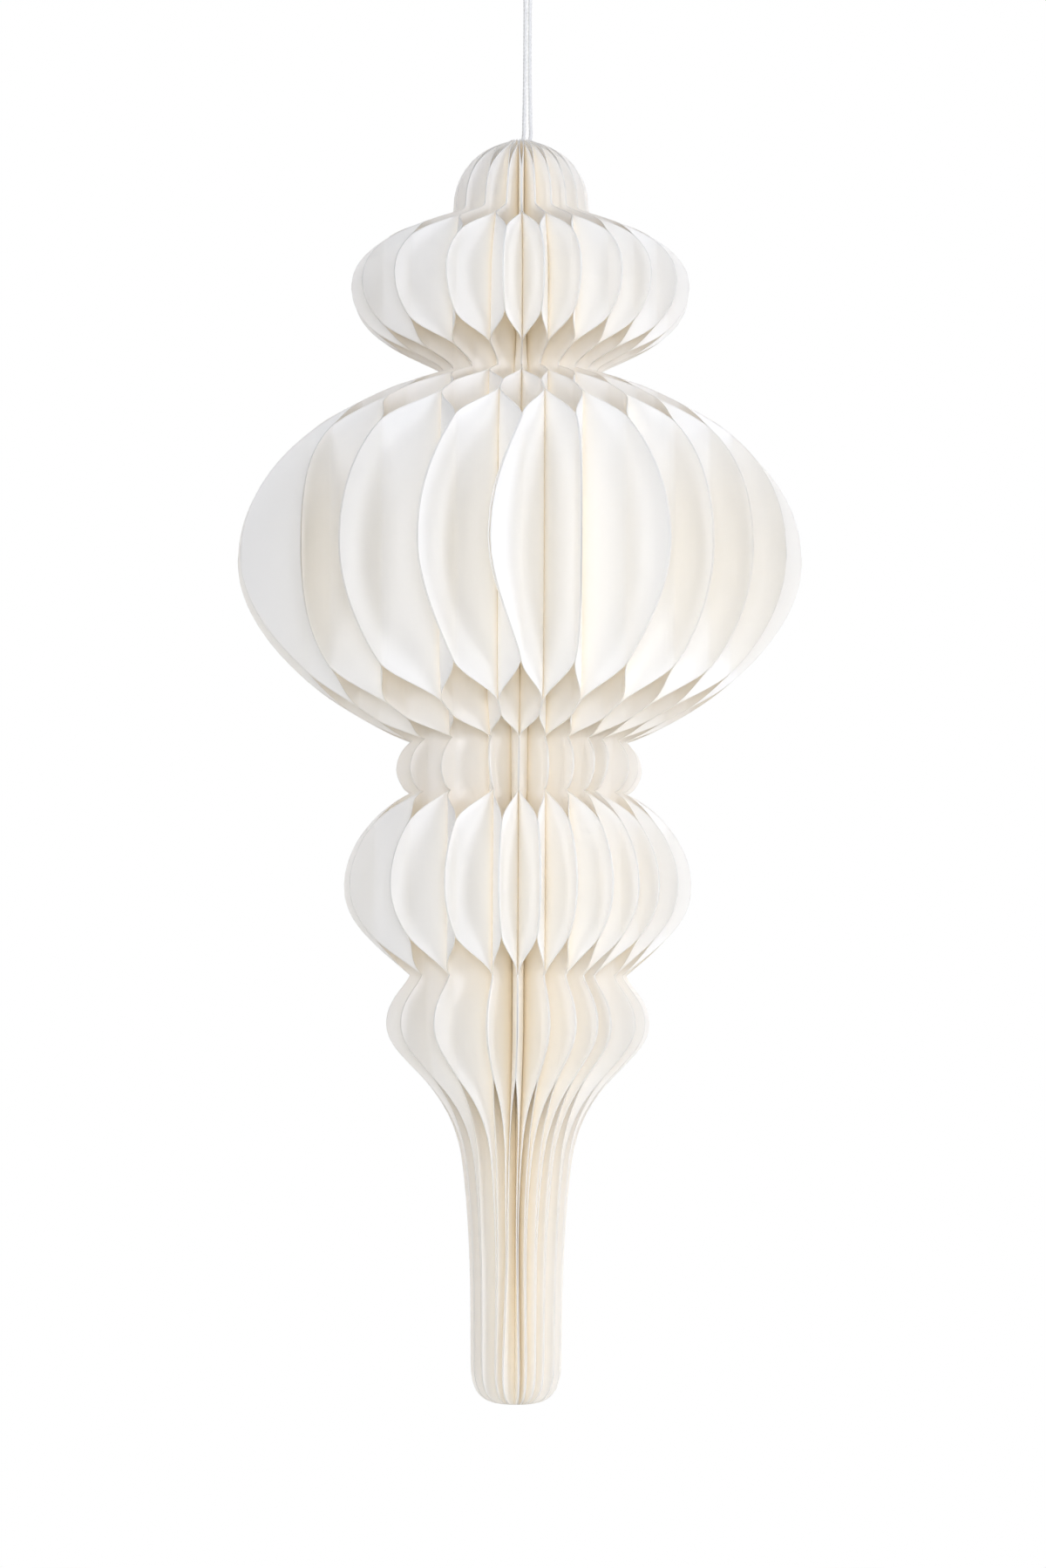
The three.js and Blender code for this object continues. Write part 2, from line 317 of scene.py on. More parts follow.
@dataclass(frozen=True)
class PaperFinish:
    """Uncoated white card, pressed on a felt: matte, with a fine tooth and a faintly cloudy tone.

    It is written whiter than real card, in place of the light that passes through the real one. Its cut
    edge is painted a shade darker than the face: painted shade that keeps the lit rim from showing as a
    bright outline.
    """

    face: str = "#FFFCF6"
    cloud: str = "#FEFBF4"
    edge: str = "#F3F0E9"
    roughness: float = 0.88
    roughness_spread: float = 0.05
    cloud_mm: float = 18.0
    tooth_mm: float = 0.9
    fibre_mm: float = 0.8
    fibre_squash: float = 0.22
    fibre_slant: tuple[float, float, float] = (0.5, 0.3, 0.2)
    relief_mm: float = 0.05
    relief_strength: float = 0.35

    def material(self) -> bpy.types.Material:
        """Builds the card. The tooth is really about 0.2 mm, and is drawn coarser so that it shows."""
        card = bpy.data.materials.new("uncoated_white_card")
        tree = new_tree(card)
        place = add_node(tree, "ShaderNodeTexCoord").outputs["Object"]
        clouds = add_node(
            tree, "ShaderNodeTexNoise", {"Scale": 1 / (self.cloud_mm * MM), "Detail": 3.0, "Vector": place}
        )
        tooth = add_node(
            tree, "ShaderNodeTexNoise", {"Scale": 1 / (self.tooth_mm * MM), "Detail": 4.0, "Vector": place}
        )
        stretched = add_node(
            tree,
            "ShaderNodeMapping",
            {"Rotation": self.fibre_slant, "Scale": (1.0, 1.0, self.fibre_squash), "Vector": place},
        )
        fibres = add_node(
            tree,
            "ShaderNodeTexNoise",
            {
                "Scale": 1 / (self.fibre_mm * MM),
                "Detail": 2.0,
                "Distortion": 0.6,
                "Vector": stretched.outputs["Vector"],
            },
        )
        relief = add_node(
            tree, "ShaderNodeMath", {0: tooth.outputs["Fac"], 1: fibres.outputs["Fac"]}, operation="ADD"
        )
        tone = add_node(
            tree,
            "ShaderNodeMix",
            {
                MIX_SHARE: clouds.outputs["Fac"],
                MIX_FIRST: linear(self.face),
                MIX_SECOND: linear(self.cloud),
            },
            data_type="RGBA",
        )
        # Painted shade: the cut edge is mixed to a darker colour than the face, so that its lit rim does not
        # show as a bright outline.
        cut = add_node(tree, "ShaderNodeAttribute", attribute_name="cut_edge")
        colour = add_node(
            tree,
            "ShaderNodeMix",
            {
                MIX_SHARE: cut.outputs["Fac"],
                MIX_FIRST: tone.outputs[MIX_RESULT],
                MIX_SECOND: linear(self.edge),
            },
            data_type="RGBA",
        )
        rough = add_node(
            tree,
            "ShaderNodeMapRange",
            {
                "Value": tooth.outputs["Fac"],
                "From Min": 0.3,
                "From Max": 0.7,
                "To Min": self.roughness - self.roughness_spread,
                "To Max": self.roughness + self.roughness_spread,
            },
        )
        bump = add_node(
            tree,
            "ShaderNodeBump",
            {
                "Strength": self.relief_strength,
                "Distance": self.relief_mm * MM,
                "Height": relief.outputs["Value"],
            },
        )
        shader = add_node(
            tree,
            "ShaderNodeBsdfPrincipled",
            {
                "Base Color": colour.outputs[MIX_RESULT],
                "Roughness": rough.outputs["Result"],
                "Normal": bump.outputs["Normal"],
                "Specular IOR Level": 0.25,
                "IOR": 1.47,
            },
        )
        add_node(tree, "ShaderNodeOutputMaterial", {"Surface": shader.outputs["BSDF"]})
        return card


@dataclass
class PaperLeaves:
    """The leaves, two to a pair, glued to their neighbours in upright strips.

    The innermost wall leaves its pair at the radii of pair_ends and meets its fin at those of fin_starts,
    which are given by depth. The facing ends of the two inner strips only place columns.
    """

    card: bpy.types.Material
    opening: Opening = field(default_factory=Opening)
    outline: dict[Zone, ZoneShape] = field(default_factory=paper_outline)
    thickness: float = 0.35
    glue_gap: float = 0.04
    spine_r: float = 5.5
    notch_r: float = 51.5
    rim_r: float = 134.0
    pair_strip_0: Strip = Strip(9.5, 20.5)
    fin_strip_1: Strip = Strip(30.0, 51.5)
    pair_ends: Curve = (
        (40.0, 12.0), (100.0, 20.0), (108.0, 26.0), (130.0, 26.0), (280.0, 33.0),
        (312.0, 33.0), (340.0, 20.0), (420.0, 20.0), (500.0, 20.5),
    )
    fin_starts: Curve = (
        (40.0, 29.0), (105.0, 37.0), (130.0, 37.0), (270.0, 49.0), (420.0, 49.0), (500.0, 37.5),
    )
    pair_strip_1: Strip = Strip(71.0, 81.0)
    fin_strip_2: Strip = Strip(103.5, 114.5)
    axis_x: float = -2.7
    top_z: float = -86.0
    wall_curl: float = 0.75
    inner_curl: float = 0.4
    lean_power: float = 1.25
    edge_band: float = 0.7
    edge_band_share: float = 0.2
    crest_cut: float = 0.02
    column_step: float = 1.9
    column_grain: float = 0.25
    column_gap: float = 0.12
    curve_samples: int = 15
    flare: float = 0.5
    least_flare: float = 0.15
    flare_spread: float = 1.5
    flare_power: float = 1.6
    flare_wave: float = 150.0
    wave_share: float = 0.3
    wave_turn: float = 1.7
    welds_per_mm: float = 1e4
    sharp_angle: float = 50.0
    seed: int = 7

    def columns(self) -> Array:
        """Radii of the upright lines that the leaves are drawn with.

        They hold each glue strip's ends and each notch, follow the outline's own samples so that its
        curves come out smooth, and fill what is left at an even step.
        """
        kept = [self.spine_r, self.notch_r]
        for strip in (self.pair_strip_0, self.fin_strip_1, self.pair_strip_1, self.fin_strip_2):
            kept += [strip.start, strip.end]
        samples = [np.arange(self.spine_r, self.rim_r, self.column_step)]
        for shape in self.outline.values():
            kept += [*shape.notches, shape.crest - self.crest_cut]
            for curves in (shape.upper, shape.lower):
                samples.append(shape.trace(curves, self.curve_samples)[:, 0])
        kept = np.unique(np.round(kept, 6))
        extra = np.concatenate(samples)
        extra = extra[(extra > self.spine_r) & (extra < self.rim_r - self.crest_cut)]
        extra = np.unique(np.round(extra / self.column_grain)) * self.column_grain
        clear = np.abs(extra[:, None] - kept).min(axis=1) > self.column_gap
        return np.sort(np.concatenate([kept, extra[clear]]))

    def wall(self, radii: Array, start: float | Array, end: float | Array, curl: float) -> Array:
        """Share of the way from one strip to the next: partly eased, as paper bends, and partly straight."""
        share = np.clip((radii - start) / (end - start), 0, 1)
        return (1 - curl) * share + curl * smoothstep(share)

    def towards_fin(self, zone: Zone, radii: Array, depth: Array) -> Array:
        """Where a leaf stands at some radii and depths: 0 in its pair's strip, 1 in a fin's strip.

        The innermost wall runs between radii that change with the depth.
        """
        inner, outer = (np.interp(depth, *np.array(ends).T) for ends in (self.pair_ends, self.fin_starts))
        share = self.wall(radii, inner, outer, self.inner_curl)
        if zone in (Zone.TOP, Zone.BIG, Zone.LOWER):
            share = share - self.wall(radii, self.fin_strip_1.end, self.pair_strip_1.start, self.wall_curl)
        if zone is Zone.BIG:
            share = share + self.wall(radii, self.pair_strip_1.end, self.fin_strip_2.start, self.wall_curl)
        return share

    def grid(self, zone: Zone) -> tuple[Array, Array]:
        """Radii of a stretch's columns, and the depth of each point of its grid.

        The first and last row follow the outline, the next ones lie a narrow band inside it, and the
        others are spread evenly between.
        """
        shape = self.outline[zone]
        radii = self.columns()
        radii = radii[radii <= shape.crest - self.crest_cut + HAIR]
        top, bottom = shape.edges(radii)
        band = np.minimum(self.edge_band, self.edge_band_share * (bottom - top))
        inner = np.linspace(0, 1, shape.rows - 1)[:, None]
        middle = (top + band) * (1 - inner) + (bottom - band) * inner
        return radii, np.vstack([top, middle, bottom])

    def flares(self) -> Array:
        """How far each leaf's free edge curls away from its partner, in millimetres, seeded."""
        draw = np.random.default_rng(self.seed)
        return self.flare * draw.uniform(self.least_flare, 1.0, 2 * self.opening.pairs) ** self.flare_spread

    def sheet(self, zone: Zone, pair: int, side: int) -> tuple[Array, Array]:
        """Middle surface of one stretch of a leaf, and the direction across the sheet.

        A point at radius r stands at r out(a) + s across(a). Azimuth a goes from pair to fin and back as the
        strips say, and past the last strip with a lean that grows as a power of the radius. Shift s is half
        the glued pair's thickness to one side or the other.

        Args:
            zone: the stretch.
            pair: number of the leaf's pair.
            side: -1 for the pair's left leaf, 1 for its right leaf.

        Returns:
            Points in millimetres and unit vectors, as rows by columns by 3.
        """
        radii, depth = self.grid(zone)
        fin = pair if side < 0 else pair + 1
        at_pair = self.opening.at_depth(self.opening.pair_table()[:, pair], depth)
        at_fin = self.opening.fin_at_depth(fin, depth)
        share = self.towards_fin(zone, radii, depth)
        azimuth = at_pair + (at_fin - at_pair) * share
        out_of_spine = self.wall(radii, self.spine_r, self.pair_strip_0.start, self.inner_curl)
        azimuth += (self.opening.spine_azimuth(pair, side) - azimuth) * (1 - out_of_spine)
        half_pair = (self.thickness + self.glue_gap) / 2
        shift = side * half_pair * (1 - 2 * share)
        if zone is Zone.BIG:
            past = np.clip((radii - self.fin_strip_2.start) / (self.rim_r - self.fin_strip_2.start), 0, 1)
            azimuth += self.opening.lean(fin) * past**self.lean_power
        if zone in (Zone.BIG, Zone.BEAD, Zone.TAIL):
            strip = self.fin_strip_2 if zone is Zone.BIG else self.fin_strip_1
            leaf = 2 * pair + (side > 0)
            reach = self.rim_r - self.fin_strip_2.end
            free = np.clip((radii - strip.end) / reach, 0, 1) ** self.flare_power
            turn = 2 * np.pi * depth / self.flare_wave + self.wave_turn * leaf
            wave = 1 - self.wave_share + self.wave_share * np.sin(turn)
            shift -= side * self.flares()[leaf] * free * wave
        angle = np.radians(azimuth)
        out = np.stack([np.sin(angle), -np.cos(angle), np.zeros_like(angle)], axis=-1)
        across = np.stack([np.cos(angle), np.sin(angle), np.zeros_like(angle)], axis=-1)
        points = radii[:, None] * out + shift[..., None] * across
        points[..., 2] = -depth
        return points, across

    def stretch_faces(self, zone: Zone, radii: Array, rows: int) -> tuple[Array, Array]:
        """Quads of one stretch: a skin each side of the sheet, and the cut edge between them.

        Args:
            zone: the stretch.
            radii: its columns.
            rows: its rows.

        Returns:
            The skins' quads and the cut edge's quads, as vertex numbers within the stretch.
        """
        count = len(radii)
        right = np.arange(rows * count).reshape(rows, count)
        left = right + rows * count
        upper, lower = self.outline[zone].notches
        first = 0 if zone is Zone.TOP else int(np.searchsorted(radii, upper - HAIR))
        last = 0 if zone is Zone.TAIL else int(np.searchsorted(radii, lower - HAIR))

        def quads(a: Array, b: Array, c: Array, d: Array) -> Array:
            """Quads from four arrays of corners."""
            return np.stack([a, b, c, d], axis=-1).reshape(-1, 4)

        skins = [
            quads(right[1:, :-1], right[:-1, :-1], right[:-1, 1:], right[1:, 1:]),
            quads(left[1:, 1:], left[:-1, 1:], left[:-1, :-1], left[1:, :-1]),
        ]
        a, b = right[0, first:], left[0, first:]
        c, d = right[-1, last:], left[-1, last:]
        edges = [
            quads(a[1:], a[:-1], b[:-1], b[1:]),
            quads(c[:-1], c[1:], d[1:], d[:-1]),
            quads(right[1:, -1], right[:-1, -1], left[:-1, -1], left[1:, -1]),
            quads(right[:-1, 0], right[1:, 0], left[1:, 0], left[:-1, 0]),
        ]
        return np.vstack(skins), np.vstack(edges)

    def edge_marks(self, zone: Zone, radii: Array, rows: int) -> Array:
        """Marks the grid points that lie on the cut outline, 1 there and 0 elsewhere."""
        marks = np.zeros((rows, len(radii)))
        upper, lower = self.outline[zone].notches
        marks[0, radii > upper - HAIR] = 1
        marks[-1, radii > lower - HAIR] = 1
        marks[:, -1] = 1
        return marks

    def leaf(self, number: int) -> bpy.types.Object:
        """Builds one leaf, welded from its stretches, and dresses it in card.

        Args:
            number: 0 for the first leaf.

        Returns:
            The leaf, which stands for the solid of the same number.
        """
        pair, side = number // 2, 1 if number % 2 else -1
        points, skins, edges, marks, base = [], [], [], [], 0
        for zone in Zone:
            radii, depth = self.grid(zone)
            centre, across = self.sheet(zone, pair, side)
            for offset in (self.thickness / 2, -self.thickness / 2):
                points.append((centre + offset * across).reshape(-1, 3))
                marks.append(self.edge_marks(zone, radii, len(depth)).ravel())
            skin, edge = self.stretch_faces(zone, radii, len(depth))
            skins.append(skin + base)
            edges.append(edge + base)
            base += 2 * depth.size
        every = np.vstack(points)
        rounded = np.round(every * self.welds_per_mm).astype(np.int64)
        _, first, merged = np.unique(rounded, axis=0, return_index=True, return_inverse=True)
        merged = merged.ravel()
        place = (every[first] + (self.axis_x, 0, self.top_z)) * MM
        name = f"paper_leaf_{number + 1:02d}"
        piece = put_mesh(name, place, [merged[np.vstack(skins)], merged[np.vstack(edges)]], [True, False])
        mark = piece.data.attributes.new("cut_edge", "FLOAT", "POINT")
        mark.data.foreach_set("value", np.concatenate(marks)[first].astype(np.float32))
        piece.data.set_sharp_from_angle(angle=math.radians(self.sharp_angle))
        piece.data.materials.append(self.card)
        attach(piece, BODY)
        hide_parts(f"leaf_{number + 1:02d}")
        return piece

    def build(self) -> list[bpy.types.Object]:
        """Builds every leaf in turn."""
        return [self.leaf(number) for number in range(2 * self.opening.pairs)]


@dataclass(frozen=True)
class CottonFinish:
    """Bleached cotton cord, loosely twisted: matte, with fine fibres that lie along its strands."""

    face: str = "#F5F4F0"
    groove: str = "#E9E6DF"
    roughness: float = 0.92
    fibre_mm: float = 0.35
    fibre_stretch: float = 0.25
    relief_mm: float = 0.1
    relief_strength: float = 0.4

    def material(self) -> bpy.types.Material:
        """Builds the cotton on the cord's own map, which is in metres along and round it."""
        cotton = bpy.data.materials.new("bleached_cotton")
        tree = new_tree(cotton)
        place = add_node(tree, "ShaderNodeUVMap", uv_map="along").outputs["UV"]
        along = add_node(
            tree, "ShaderNodeMapping", {"Scale": (self.fibre_stretch, 1.0, 1.0), "Vector": place}
        )
        fibres = add_node(
            tree,
            "ShaderNodeTexNoise",
            {"Scale": 1 / (self.fibre_mm * MM), "Detail": 3.0, "Vector": along.outputs["Vector"]},
        )
        colour = add_node(
            tree,
            "ShaderNodeMix",
            {
                MIX_SHARE: fibres.outputs["Fac"],
                MIX_FIRST: linear(self.face),
                MIX_SECOND: linear(self.groove),
            },
            data_type="RGBA",
        )
        bump = add_node(
            tree,
            "ShaderNodeBump",
            {
                "Strength": self.relief_strength,
                "Distance": self.relief_mm * MM,
                "Height": fibres.outputs["Fac"],
            },
        )
        shader = add_node(
            tree,
            "ShaderNodeBsdfPrincipled",
            {
                "Base Color": colour.outputs[MIX_RESULT],
                "Normal": bump.outputs["Normal"],
                "Roughness": self.roughness,
                "Specular IOR Level": 0.2,
                "Sheen Weight": 0.3,
                "Sheen Roughness": 0.5,
            },
        )
        add_node(tree, "ShaderNodeOutputMaterial", {"Surface": shader.outputs["BSDF"]})
        return cotton


@dataclass
class HangingCord:
    """One cotton cord, doubled: both ends are in the knot inside the spine, and its bight is the loop."""

    cotton: bpy.types.Material
    diameter: float = 1.9
    strands: int = 3
    lay_length: float = 5.5
    groove: float = 0.3
    groove_power: float = 0.7
    sides: int = 24
    step: float = 0.35
    leg_up: Curve = (
        (-3.9, -95.7), (-3.9, -94), (-3.2, -90.5), (-1.8, -85.5), (-1.4, -76),
        (-1.25, -64), (-1.12, -53), (-1.1, -42), (-1.1, -31), (-1.1, -22),
        (-1.3, -17.5), (-2.2, -13), (-3.5, -8.5), (-4.2, -4), (-3.2, -0.6),
    )
    loop_top: tuple[float, float] = (0.0, 0.95)
    leg_down: Curve = (
        (3.2, -0.6), (4.2, -4), (3.5, -8.5), (2.2, -13), (1.3, -17.5),
        (1.1, -22), (1.1, -31), (1.1, -42), (1.12, -53), (1.3, -64),
        (1.5, -76), (1.4, -85.5), (-0.4, -90.5), (-1.5, -94), (-1.5, -95.7),
    )
    exit_x: float = -1.8
    exit_z: float = -88.0
    knot_centre: tuple[float, float, float] = (-2.7, 0.0, -100.5)
    knot_radius: float = 5.2
    knot_height: float = 9.0
    knot_tube: float = 1.45
    knot_groove: float = 0.15
    knot_twists: int = 18
    knot_length: float = 60.0
    knot_rings: int = 180
    knot_sides: int = 20

    def route(self) -> Array:
        """Centre line at an even step, in millimetres.

        Between the route's points it is a cubic whose slope at a point is that of its neighbours' chord, over
        the length of the chords.
        """
        knots = np.array([*self.leg_up, self.loop_top, *self.leg_down])
        points = np.stack([knots[:, 0], np.zeros(len(knots)), knots[:, 1]], axis=-1)
        length = np.concatenate([[0], np.cumsum(np.linalg.norm(np.diff(points, axis=0), axis=1))])
        slope = np.gradient(points, length, axis=0)
        at = np.linspace(0, length[-1], round(length[-1] / self.step))
        k = np.clip(np.searchsorted(length, at, side="right") - 1, 0, len(length) - 2)
        span = (length[k + 1] - length[k])[:, None]
        t = (at - length[k])[:, None] / span
        return (
            (2 * t**3 - 3 * t**2 + 1) * points[k]
            + (t**3 - 2 * t**2 + t) * span * slope[k]
            + (3 * t**2 - 2 * t**3) * points[k + 1]
            + (t**3 - t**2) * span * slope[k + 1]
        )

    def tube(self, path: Array, radius: Array, side_ways: Array, closed: bool) -> tuple[Array, list[Array]]:
        """A section carried along a path: p + rho (cos u n + sin u b), with n and b across the path.

        Args:
            path: centre line, one row each.
            radius: distance rho by ring and by side.
            side_ways: a direction across the path for each ring.
            closed: whether the last ring joins the first.

        Returns:
            Points, and the quads and end triangles between them.
        """
        rings, sides = radius.shape
        if closed:
            along = np.roll(path, -1, axis=0) - np.roll(path, 1, axis=0)
        else:
            along = np.gradient(path, axis=0)
        along /= np.linalg.norm(along, axis=1, keepdims=True)
        normal = side_ways - np.sum(side_ways * along, axis=1, keepdims=True) * along
        normal /= np.linalg.norm(normal, axis=1, keepdims=True)
        binormal = np.cross(along, normal)
        turn = np.linspace(0, 2 * np.pi, sides, endpoint=False)
        ring = np.cos(turn)[:, None] * normal[:, None] + np.sin(turn)[:, None] * binormal[:, None]
        points = (path[:, None] + radius[..., None] * ring).reshape(-1, 3)
        index = np.arange(rings * sides).reshape(rings, sides)
        if closed:
            index = np.vstack([index, index[:1]])
        after = np.roll(index, -1, axis=1)
        walls = np.stack([index[:-1], after[:-1], after[1:], index[1:]], axis=-1).reshape(-1, 4)
        if closed:
            return points, [walls]
        ends = np.array([rings * sides, rings * sides + 1])
        points = np.vstack([points, path[[0, -1]]])
        start = np.stack([after[0], index[0], np.full(sides, ends[0])], axis=-1)
        finish = np.stack([index[-1], after[-1], np.full(sides, ends[1])], axis=-1)
        return points, [walls, np.vstack([start, finish])]

    def dress(self, piece: bpy.types.Object, length: float, rings: int, sides: int, node: str) -> None:
        """Gives a tube its map in metres along and round it, its cotton, and the solid that it stands for."""
        mesh = piece.data
        corner = np.zeros(len(mesh.loops), np.int32)
        mesh.loops.foreach_get("vertex_index", corner)
        along = (corner // sides) / rings * length * MM
        around = (corner % sides) / sides * math.pi * self.diameter * MM
        layer = mesh.uv_layers.new(name="along")
        layer.data.foreach_set("uv", np.stack([along, around], axis=-1).astype(np.float32).ravel())
        mesh.materials.append(self.cotton)
        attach(piece, BODY)
        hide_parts(node)

    def swell(self, phase: Array, groove: float) -> Array:
        """Radius over each strand as a share: 1 on its crest, and less by the groove between two strands."""
        return 1 - groove * (1 - np.abs(np.cos(phase)) ** self.groove_power)

    def cord(self) -> tuple[bpy.types.Object, Array]:
        """The cord as three strands laid up: its radius swells over each strand, along a helix.

        Returns:
            The cord and its centre line in metres.
        """
        path = self.route()
        run = np.arange(len(path))[:, None] * self.step
        turn = np.linspace(0, 2 * np.pi, self.sides, endpoint=False)
        phase = self.strands / 2 * (turn - 2 * np.pi * run / self.lay_length)
        radius = self.diameter / 2 * self.swell(phase, self.groove)
        flat = np.tile([0.0, 1.0, 0.0], (len(path), 1))
        points, faces = self.tube(path, radius, flat, closed=False)
        piece = put_mesh("cotton_cord", points * MM, faces, [True, True])
        length = self.step * len(path)
        self.dress(piece, length, len(path), self.sides, "hanging_cord")
        return piece, path * MM

    def knot(self) -> bpy.types.Object:
        """The overhand knot: a tube on the trefoil (sin t + 2 sin 2t, cos t - 2 cos 2t, -sin 3t)."""
        t = np.linspace(0, 2 * np.pi, self.knot_rings, endpoint=False)
        reach = (self.knot_radius - self.knot_tube) / 3
        rise = self.knot_height / 2 - self.knot_tube
        x = reach * (np.sin(t) + 2 * np.sin(2 * t))
        y = reach * (np.cos(t) - 2 * np.cos(2 * t))
        path = np.stack([x, y, -rise * np.sin(3 * t)], axis=-1)
        turn = np.linspace(0, 2 * np.pi, self.knot_sides, endpoint=False)
        phase = self.strands / 2 * (turn - self.knot_twists * t[:, None])
        radius = self.knot_tube * self.swell(phase, self.knot_groove)
        upwards = np.tile([0.0, 0.0, 1.0], (len(path), 1))
        points, faces = self.tube(path, radius, upwards, closed=True)
        piece = put_mesh("cotton_knot", (points + self.knot_centre) * MM, faces, [True])
        self.dress(piece, self.knot_length, self.knot_rings, self.knot_sides, "cord_knot")
        return piece

    def build(self) -> list[bpy.types.Object]:
        """Builds the cord and its knot."""
        cord, path = self.cord()
        knot = self.knot()
        return [cord, knot]


@dataclass(frozen=True)
class Softbox:
    """A square studio light that faces the middle of the decoration.

    Angles are in degrees, azimuth 0 at the front and positive to the right, and sizes are in metres.
    """

    name: str
    azimuth: float
    elevation: float
    distance: float
    side: float
    watts: float
    colour: str = "#EDF2FF"

    def build(self, aim: Vector) -> None:
        """Hangs the light at its bearing from the aim."""
        lamp = bpy.data.lights.new(self.name, "AREA")
        lamp.shape = "RECTANGLE"
        lamp.size = lamp.size_y = self.side
        lamp.energy = self.watts
        lamp.color = linear(self.colour)[:3]
        holder = bpy.data.objects.new(self.name, lamp)
        a, e = math.radians(self.azimuth), math.radians(self.elevation)
        way = Vector((math.sin(a) * math.cos(e), -math.cos(a) * math.cos(e), math.sin(e)))
        holder.location = aim + self.distance * way
        holder.rotation_euler = way.to_track_quat("Z", "Y").to_euler()
        holder.visible_camera = False
        bpy.context.scene.collection.objects.link(holder)


@dataclass
class Studio:
    """Camera, soft lights, white surround and a pale floor."""

    camera_place: tuple[float, float, float] = (-0.00058, -2.1, -0.4967)
    pitch: float = 2.8086
    roll: float = 0.2538
    focal_px: float = 5081.9
    picture_px: int = 1798
    sensor_mm: float = 36.0
    aim: tuple[float, float, float] = (-0.0027, 0.0, -0.35)
    floor_z: float = -0.95
    floor_r: float = 1.6
    floor_sides: int = 96
    floor_rings: tuple[float, ...] = (0.4, 0.8, 1.0)
    floor_paint: str = "#F3EEE2"
    floor_fade: tuple[float, float] = (0.25, 0.95)
    floor_white: tuple[float, float] = (0.35, 1.0)
    far_clip: float = 50.0
    white: str = "#FFFFFF"
    ambient: float = 0.155
    ambient_colour: str = "#EDF2FF"
    bounces: int = 24
    softboxes: tuple[Softbox, ...] = (
        Softbox("front_softbox", 0.0, 3.0, 2.5, 0.6, 12.3),
        Softbox("right_softbox", 37.0, 4.0, 2.5, 0.6, 14.4),
        Softbox("left_softbox", -37.0, 4.0, 2.5, 0.6, 10.8, "#EFF2FB"),
        Softbox("right_side_softbox", 70.0, 6.0, 2.5, 0.8, 17.5),
        Softbox("left_side_softbox", -70.0, 6.0, 2.5, 0.8, 4.0, "#EFF2FB"),
        Softbox("right_back_softbox", 142.0, 8.0, 2.5, 0.8, 26.0),
        Softbox("left_back_softbox", -145.0, 8.0, 2.5, 0.8, 25.0),
        Softbox("high_left_softbox", -40.0, 35.0, 2.5, 0.6, 4.0, "#EFF2FB"),
        Softbox("high_right_softbox", 40.0, 35.0, 2.5, 0.6, 5.5),
        Softbox("top_softbox", 0.0, 78.0, 2.0, 1.2, 7.0),
    )

    def camera(self) -> None:
        """A long lens from a little below the middle, tipped up and slightly rolled."""
        lens = bpy.data.cameras.new("camera")
        lens.sensor_width = self.sensor_mm
        lens.lens = self.focal_px / self.picture_px * self.sensor_mm
        lens.clip_end = self.far_clip
        camera = bpy.data.objects.new("camera", lens)
        tipped = Euler((math.radians(90 + self.pitch), 0, 0)).to_matrix()
        turned = tipped @ Matrix.Rotation(math.radians(self.roll), 3, "Z")
        camera.location = self.camera_place
        camera.rotation_euler = turned.to_euler()
        bpy.context.scene.collection.objects.link(camera)
        bpy.context.scene.camera = camera

    @staticmethod
    def seen(tree: bpy.types.NodeTree) -> bpy.types.NodeSocket:
        """A share that is 1 for rays from the camera, in mirrors and through glass, and 0 for light."""
        path = add_node(tree, "ShaderNodeLightPath").outputs
        shiny = add_node(
            tree, "ShaderNodeMath", {0: path["Is Camera Ray"], 1: path["Is Glossy Ray"]}, operation="MAXIMUM"
        )
        clear = add_node(
            tree,
            "ShaderNodeMath",
            {0: shiny.outputs["Value"], 1: path["Is Transmission Ray"]},
            operation="MAXIMUM",
        )
        return clear.outputs["Value"]

    def surround(self) -> None:
        """White to the eye, and a plain soft light on the decoration."""
        world = bpy.data.worlds.new("white_surround")
        bpy.context.scene.world = world
        tree = new_tree(world)
        light = add_node(
            tree, "ShaderNodeBackground", {"Color": linear(self.ambient_colour), "Strength": self.ambient}
        )
        white = add_node(tree, "ShaderNodeBackground", {"Color": linear(self.white), "Strength": 1.0})
        mix = add_node(
            tree,
            "ShaderNodeMixShader",
            {0: self.seen(tree), 1: light.outputs["Background"], 2: white.outputs["Background"]},
        )
        add_node(tree, "ShaderNodeOutputWorld", {"Surface": mix.outputs["Shader"]})

    def floor(self) -> None:
        """A pale disc below the decoration that keeps its shadow and fades into the surround at its rim."""
        rings, sides = len(self.floor_rings), self.floor_sides
        turn = np.linspace(0, 2 * np.pi, sides, endpoint=False)
        radii = np.array(self.floor_rings)[:, None] * self.floor_r
        height = np.full((rings, sides), self.floor_z)
        points = np.stack([radii * np.cos(turn), radii * np.sin(turn), height], axis=-1).reshape(-1, 3)
        points = np.vstack([points, [[0.0, 0.0, self.floor_z]]])
        index = np.arange(rings * sides).reshape(rings, sides)
        after = np.roll(index, -1, axis=1)
        discs = np.stack([index[:-1], index[1:], after[1:], after[:-1]], axis=-1).reshape(-1, 4)
        middle = np.stack([index[0], after[0], np.full(sides, rings * sides)], axis=-1)
        floor = put_mesh("studio_floor", points, [discs, middle], [False, False])
        floor.data.materials.append(self.floor_material())

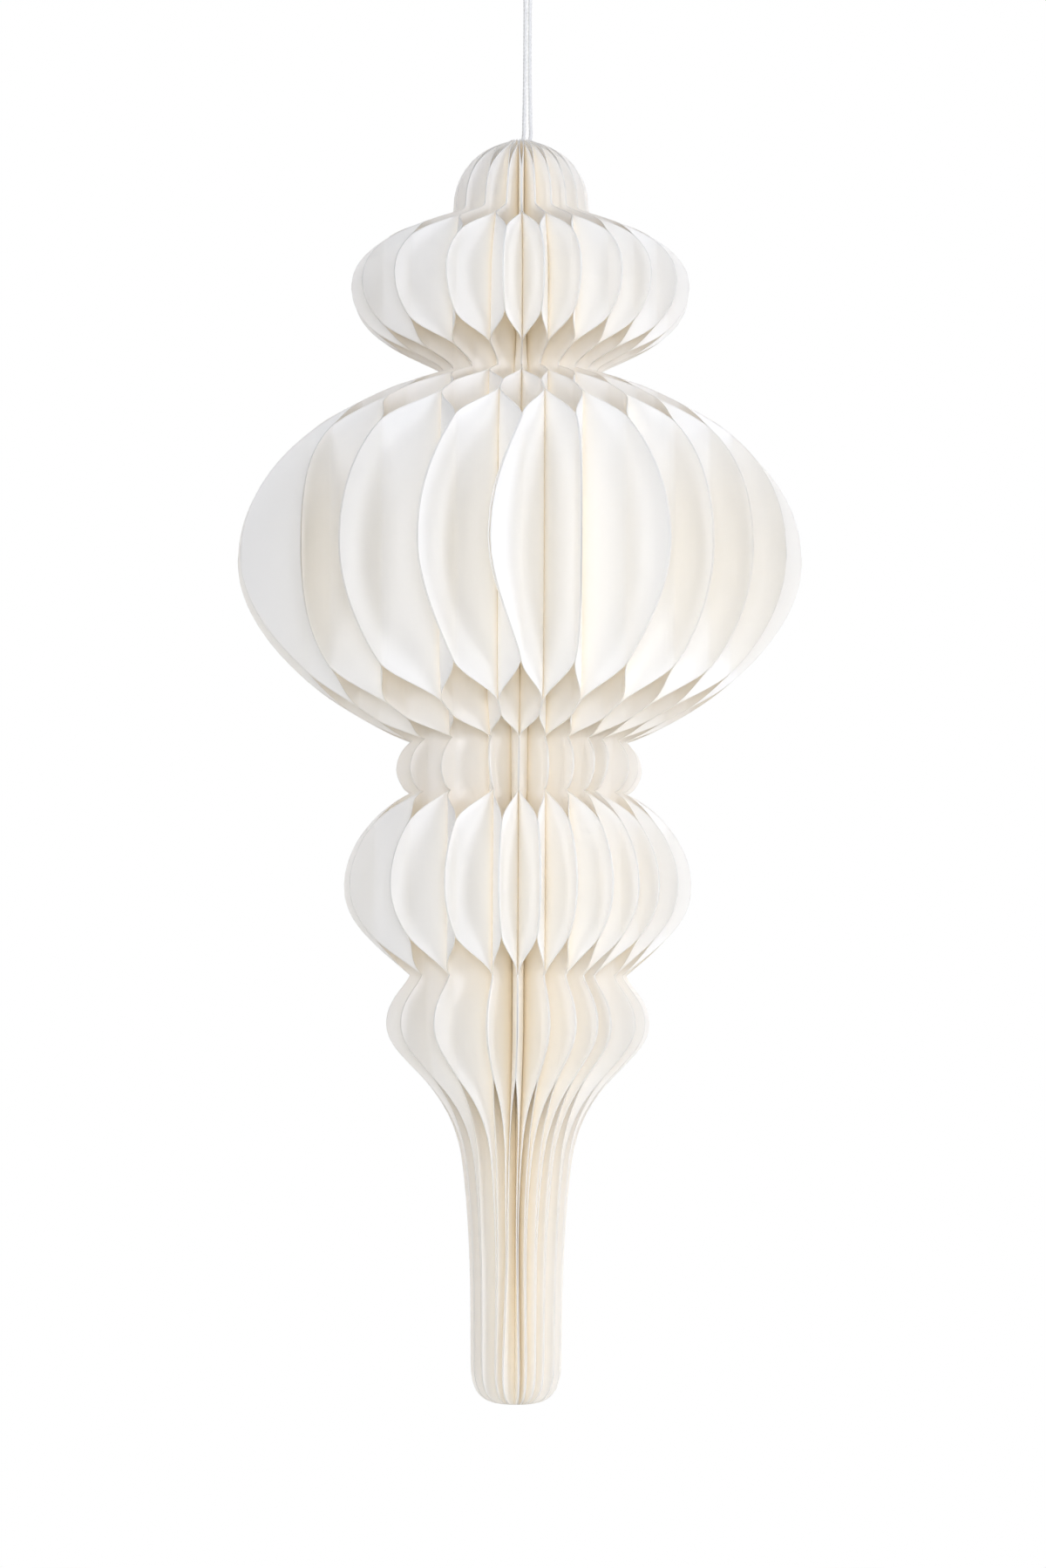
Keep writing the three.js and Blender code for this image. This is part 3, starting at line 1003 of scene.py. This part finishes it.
    def floor_material(self) -> bpy.types.Material:
        """Matte paint, a little warm because the lamps are cool, that turns white to the eye near the rim."""
        paint = bpy.data.materials.new("matte_white_floor_paint")
        tree = new_tree(paint)
        place = add_node(tree, "ShaderNodeTexCoord").outputs["Object"]
        flat = add_node(tree, "ShaderNodeVectorMath", {0: place, 1: (1.0, 1.0, 0.0)}, operation="MULTIPLY")
        away = add_node(tree, "ShaderNodeVectorMath", {0: flat.outputs["Vector"]}, operation="LENGTH")
        fade = add_node(
            tree,
            "ShaderNodeMapRange",
            {
                "Value": away.outputs["Value"],
                "From Min": self.floor_fade[0] * self.floor_r,
                "From Max": self.floor_fade[1] * self.floor_r,
                "To Min": self.floor_white[0],
                "To Max": self.floor_white[1],
            },
            interpolation_type="SMOOTHSTEP",
        )
        share = add_node(
            tree, "ShaderNodeMath", {0: fade.outputs["Result"], 1: self.seen(tree)}, operation="MULTIPLY"
        )
        matte = add_node(
            tree, "ShaderNodeBsdfPrincipled", {"Base Color": linear(self.floor_paint), "Roughness": 0.9}
        )
        white = add_node(tree, "ShaderNodeEmission", {"Color": linear(self.white), "Strength": 1.0})
        mix = add_node(
            tree,
            "ShaderNodeMixShader",
            {0: share.outputs["Value"], 1: matte.outputs["BSDF"], 2: white.outputs["Emission"]},
        )
        add_node(tree, "ShaderNodeOutputMaterial", {"Surface": mix.outputs["Shader"]})
        return paint

    def build(self) -> None:
        """Sets up the camera, the lights, the surround and the floor."""
        bpy.context.scene.view_settings.view_transform = "Standard"
        bpy.context.scene.cycles.max_bounces = self.bounces
        bpy.context.scene.cycles.diffuse_bounces = self.bounces
        self.camera()
        for softbox in self.softboxes:
            softbox.build(Vector(self.aim))
        self.surround()
        self.floor()


def main() -> None:
    """Builds the studio, the cord and the leaves."""
    logging.basicConfig(level=logging.INFO, format="%(name)s: %(message)s")
    Studio().build()
    pieces = HangingCord(CottonFinish().material()).build()
    pieces += PaperLeaves(PaperFinish().material()).build()
    total = 0
    for piece in pieces:
        triangles = sum(len(face.vertices) - 2 for face in piece.data.polygons)
        total += triangles
        LOG.info("%s: %d triangles", piece.name, triangles)
    LOG.info("all pieces: %d triangles", total)


if __name__ == "__main__":
    main()
